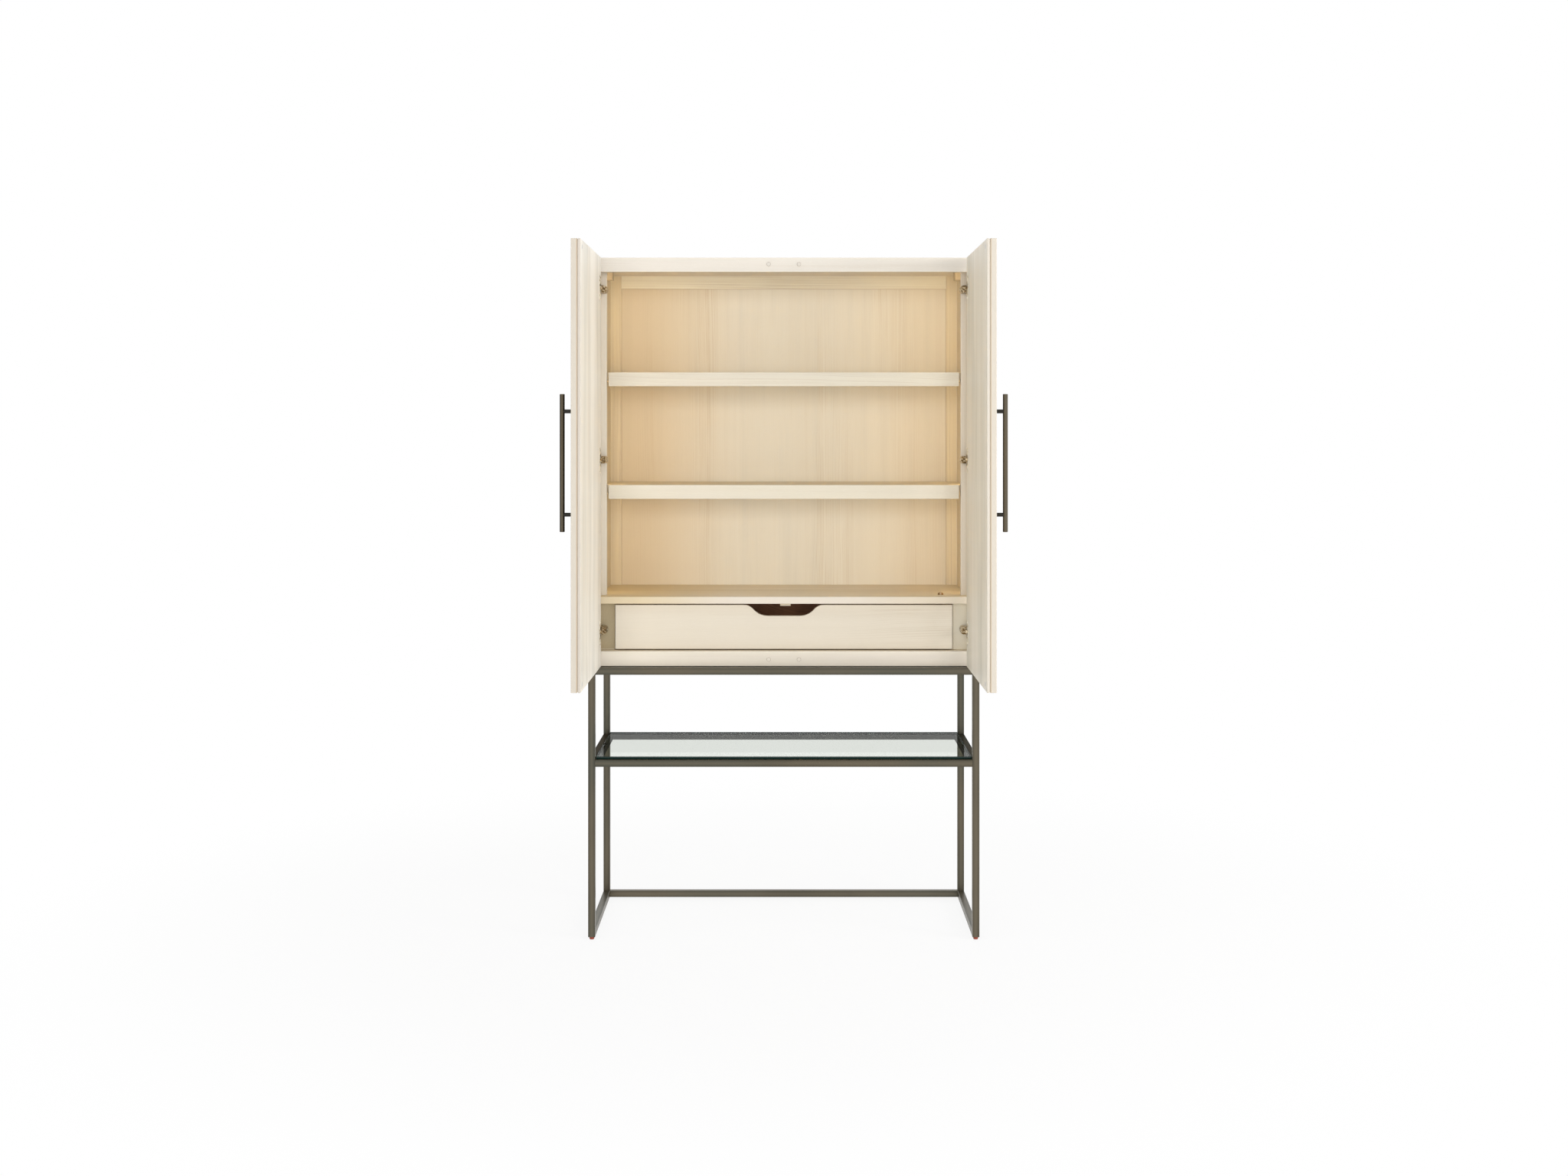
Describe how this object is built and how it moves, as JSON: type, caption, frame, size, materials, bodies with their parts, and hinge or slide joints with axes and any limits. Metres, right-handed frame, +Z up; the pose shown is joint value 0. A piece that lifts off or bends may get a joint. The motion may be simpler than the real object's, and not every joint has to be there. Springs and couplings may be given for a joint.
{
  "type": "bar cabinet",
  "caption": "Two-door bar cabinet in limed oak on an open bronze steel stand with a glass shelf, lit shelves inside and a drawer with a finger notch.",
  "frame": {"origin": "on the floor, under the middle of the stand", "axes": "+X to the right seen from the front, +Y to the back, +Z up; the doors open towards -Y"},
  "size_m": [1.1104, 0.995, 1.862],
  "materials": {
    "oak_outside": "limed oak veneer, satin, closed grain",
    "oak_inside": "limed oak veneer inside the cabinet, satin",
    "oak_solid": "limed solid oak edges, battens and blocks, satin",
    "drawer_wood": "dark walnut drawer box, satin lacquer",
    "filler_wood": "limed oak fillers beside the drawer",
    "stand_metal": "antique bronze finish, softly brushed",
    "handle_metal": "dark antique bronze, brushed",
    "hinge_brass": "brushed brass hinge arms and cups",
    "hinge_steel": "plated steel plates and screws",
    "magnet_steel": "nickel plated magnets and strikes",
    "slide_steel": "zinc plated drawer runners",
    "fixing_steel": "zinc plated screws and washers",
    "shelf_glass": "clear glass with a dark green edge",
    "clear_plastic": "clear soft bumpers",
    "lamp_channel": "satin channel of the light strip",
    "lamp_diffuser": "opal cover of the light strip, warm when lit",
    "dark_plastic": "black plastic driver and grommet",
    "dimmer_metal": "polished touch cap",
    "glide_plastic": "reddish brown glide",
    "insert_steel": "steel insert in the leg"
  },
  "bodies": {
    "cabinet": {"side_panel_left": "oak_outside", "side_panel_right": "oak_outside", "top_panel": "oak_outside", "top_front_rail": "oak_outside", "bottom_panel": "oak_outside", "bottom_front_rail": "oak_outside", "back_stiles": "oak_inside", "back_rails": "oak_inside", "back_panel": "oak_inside", "drawer_deck": "oak_inside", "shelf_upper": "oak_inside", "shelf_lower": "oak_inside", "shelf_upper_nosing": "oak_solid", "shelf_lower_nosing": "oak_solid", "shelf_pins": "hinge_steel", "light_battens": "oak_solid", "led_strips": "lamp_channel", "led_diffusers": "lamp_diffuser", "glue_blocks": "oak_solid", "touch_dimmer": "dimmer_metal", "drawer_fillers": "filler_wood", "slide_outer_members": "slide_steel", "catch_magnets": "magnet_steel", "hinge_plates": "hinge_steel", "hinge_arms": "hinge_brass", "legs": "stand_metal", "leg_inserts": "insert_steel", "base_top_rails": "stand_metal", "base_shelf_rails": "stand_metal", "base_floor_rails": "stand_metal", "shelf_ledge_bars": "stand_metal", "carcass_bars": "stand_metal", "glass_shelf": "shelf_glass", "glass_bumpers": "clear_plastic", "carcass_fixings": "fixing_steel", "led_driver": "dark_plastic", "cable_grommet": "dark_plastic"},
    "left_levers": {"left_hinge_levers": "hinge_brass"},
    "left_door": {"left_door_outer": "oak_outside", "left_door_inner": "oak_inside", "left_handle_bar": "handle_metal", "left_handle_posts": "handle_metal", "left_hinge_cups": "hinge_brass", "left_door_strikes": "magnet_steel"},
    "right_levers": {"right_hinge_levers": "hinge_brass"},
    "right_door": {"right_door_outer": "oak_outside", "right_door_inner": "oak_inside", "right_handle_bar": "handle_metal", "right_handle_posts": "handle_metal", "right_hinge_cups": "hinge_brass", "right_door_strikes": "magnet_steel"},
    "drawer": {"drawer_front": "oak_outside", "drawer_box_walls": "drawer_wood", "drawer_bottom": "drawer_wood", "slide_inner_members": "slide_steel"},
    "drawer_slide_middles": {"slide_middle_members": "slide_steel"},
    "glide_front_left": {"glide_front_left": "glide_plastic"},
    "glide_front_right": {"glide_front_right": "glide_plastic"},
    "glide_back_left": {"glide_back_left": "glide_plastic"},
    "glide_back_right": {"glide_back_right": "glide_plastic"}
  },
  "joints": [
    {"name": "left_door_swing", "type": "hinge", "parent": "cabinet", "child": "left_levers", "pos_m": [-0.49875, -0.21925, 1.30775], "axis": [0, 0, 1], "range_deg": [-90, 0]},
    {"name": "left_cup_turn", "type": "hinge", "parent": "left_levers", "child": "left_door", "pos_m": [-0.503, -0.241, 1.30775], "axis": [0, 0, -1], "range_deg": [-180, 0]},
    {"name": "right_door_swing", "type": "hinge", "parent": "cabinet", "child": "right_levers", "pos_m": [0.49875, -0.21925, 1.30775], "axis": [0, 0, -1], "range_deg": [-90, 0]},
    {"name": "right_cup_turn", "type": "hinge", "parent": "right_levers", "child": "right_door", "pos_m": [0.503, -0.241, 1.30775], "axis": [0, 0, 1], "range_deg": [-180, 0]},
    {"name": "drawer_slide", "type": "slide", "parent": "cabinet", "child": "drawer", "axis": [0, -1, 0], "range_m": [0, 0.3]},
    {"name": "drawer_middle_slide", "type": "slide", "parent": "cabinet", "child": "drawer_slide_middles", "axis": [0, -1, 0], "range_m": [0, 0.15]},
    {"name": "glide_screw_front_left", "type": "slide", "parent": "cabinet", "child": "glide_front_left", "axis": [0, 0, -1], "range_m": [0, 0.01]},
    {"name": "glide_screw_front_right", "type": "slide", "parent": "cabinet", "child": "glide_front_right", "axis": [0, 0, -1], "range_m": [0, 0.01]},
    {"name": "glide_screw_back_left", "type": "slide", "parent": "cabinet", "child": "glide_back_left", "axis": [0, 0, -1], "range_m": [0, 0.01]},
    {"name": "glide_screw_back_right", "type": "slide", "parent": "cabinet", "child": "glide_back_right", "axis": [0, 0, -1], "range_m": [0, 0.01]}
  ],
  "couplings": [
    {"joint": "left_cup_turn", "follows": "left_door_swing", "ratio": 2},
    {"joint": "right_cup_turn", "follows": "right_door_swing", "ratio": 2},
    {"joint": "drawer_middle_slide", "follows": "drawer_slide", "ratio": 0.5}
  ]
}
